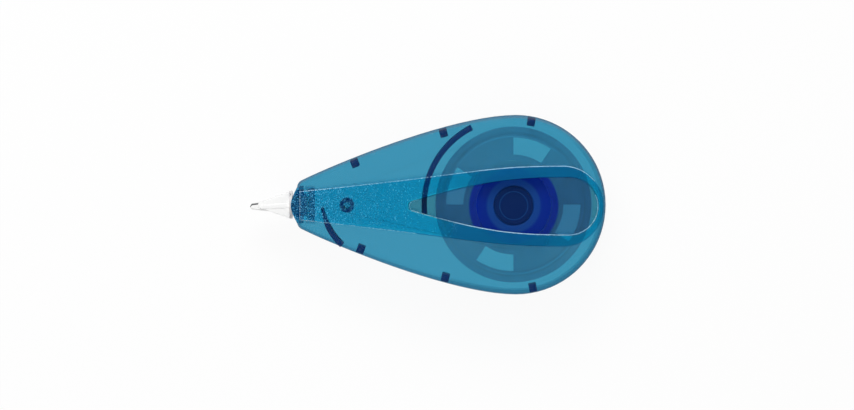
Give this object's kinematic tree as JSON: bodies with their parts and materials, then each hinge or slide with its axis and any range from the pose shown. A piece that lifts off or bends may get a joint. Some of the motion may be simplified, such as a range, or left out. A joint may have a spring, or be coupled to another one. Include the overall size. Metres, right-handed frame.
{
  "type": "correction tape dispenser",
  "caption": "Teardrop correction tape dispenser with a see-through casing, raised grip bands, a blade tip and coaxial tape reels joined by a slipping clutch.",
  "frame": {"origin": "middle of the bounding box at the plane the object lies on, the crest of the back grip band", "axes": "+X from the blade tip to the round tail, +Y across the face, +Z out of the front face along the reel axis"},
  "size_m": [0.0888, 0.0448, 0.016],
  "materials": {
    "casing": "polished see-through blue plastic",
    "grip": "translucent blue rubber with fine glitter",
    "window": "clear smoky plastic pane",
    "tip": "white moulded plastic",
    "cap": "dark blue moulded plastic",
    "hub": "violet blue moulded plastic",
    "supply_flange": "royal blue plastic",
    "core": "pale moulded plastic",
    "tape": "white coated film",
    "reel": "translucent grey blue plastic",
    "film": "clear spent film",
    "clutch": "black friction ring",
    "spring": "bright spring steel",
    "tip_tape": "dark carrier film"
  },
  "bodies": {
    "casing": {"front_shell": "casing", "back_shell": "casing", "front_grip": "grip", "back_grip": "grip", "front_window": "window", "applicator_tip": "tip", "axle_cap": "cap", "clutch_spring": "spring", "supply_tape": "tape", "tip_tape": "tip_tape", "return_film": "film"},
    "supply_reel": {"supply_hub": "hub", "supply_flange": "supply_flange", "tape_core": "core", "tape_pack": "tape", "clutch_ring": "clutch"},
    "takeup_reel": {"takeup_drum": "reel", "takeup_flange": "reel", "takeup_film": "film"}
  },
  "joints": [
    {"name": "supply_spin", "type": "hinge", "parent": "casing", "child": "supply_reel", "pos_m": [0.02135, 0, 0.008], "axis": [0, 0, -1], "continuous": true},
    {"name": "takeup_spin", "type": "hinge", "parent": "casing", "child": "takeup_reel", "pos_m": [0.02135, 0, 0.008], "axis": [0, 0, -1], "continuous": true}
  ],
  "couplings": [
    {"joint": "takeup_spin", "follows": "supply_spin", "ratio": 0.615}
  ]
}
